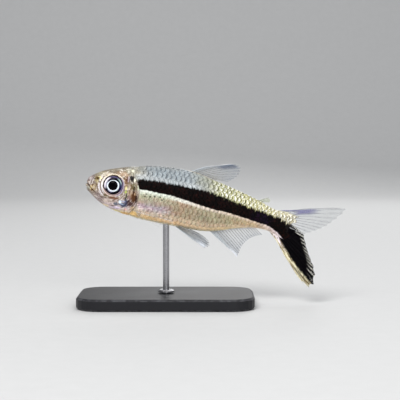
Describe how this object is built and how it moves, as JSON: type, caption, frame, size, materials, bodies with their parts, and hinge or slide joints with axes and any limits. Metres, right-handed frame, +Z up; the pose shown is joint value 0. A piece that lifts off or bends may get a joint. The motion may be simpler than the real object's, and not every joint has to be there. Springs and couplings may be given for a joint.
{
  "type": "penguin tetra display model",
  "caption": "Life-size model of a penguin tetra, a small freshwater fish with a dark side stripe, swimming head up over a small rod stand.",
  "frame": {"origin": "centre of the stand base's underside, straight under the rod", "axes": "+X from the head towards the tail, +Y to the fish's right side, +Z up"},
  "size_m": [0.067, 0.025, 0.0354],
  "materials": {
    "silver_skin": "smooth silvery scaled skin, satin",
    "gill_plate": "bare pearly skin over thin bone, satin",
    "clear_fin": "clear fin membrane over fine rays",
    "black_fin": "dark pigmented fin membrane over fine rays",
    "eye_gloss": "wet gloss",
    "steel": "fine satin",
    "base_black": "satin black"
  },
  "bodies": {
    "root": {"head": "silver_skin", "lower_jaw": "silver_skin", "trunk": "silver_skin", "tail_stalk": "silver_skin", "gill_cover_left": "gill_plate", "gill_cover_right": "gill_plate", "eye_left": "eye_gloss", "eye_right": "eye_gloss", "dorsal_fin": "clear_fin", "adipose_fin": "clear_fin", "anal_fin": "clear_fin", "pelvic_fin_left": "clear_fin", "pelvic_fin_right": "clear_fin", "pectoral_fin_left": "clear_fin", "pectoral_fin_right": "clear_fin", "tail_fin_upper": "clear_fin", "tail_fin_lower": "black_fin", "stand_rod": "steel", "stand_base": "base_black"}
  },
  "joints": []
}
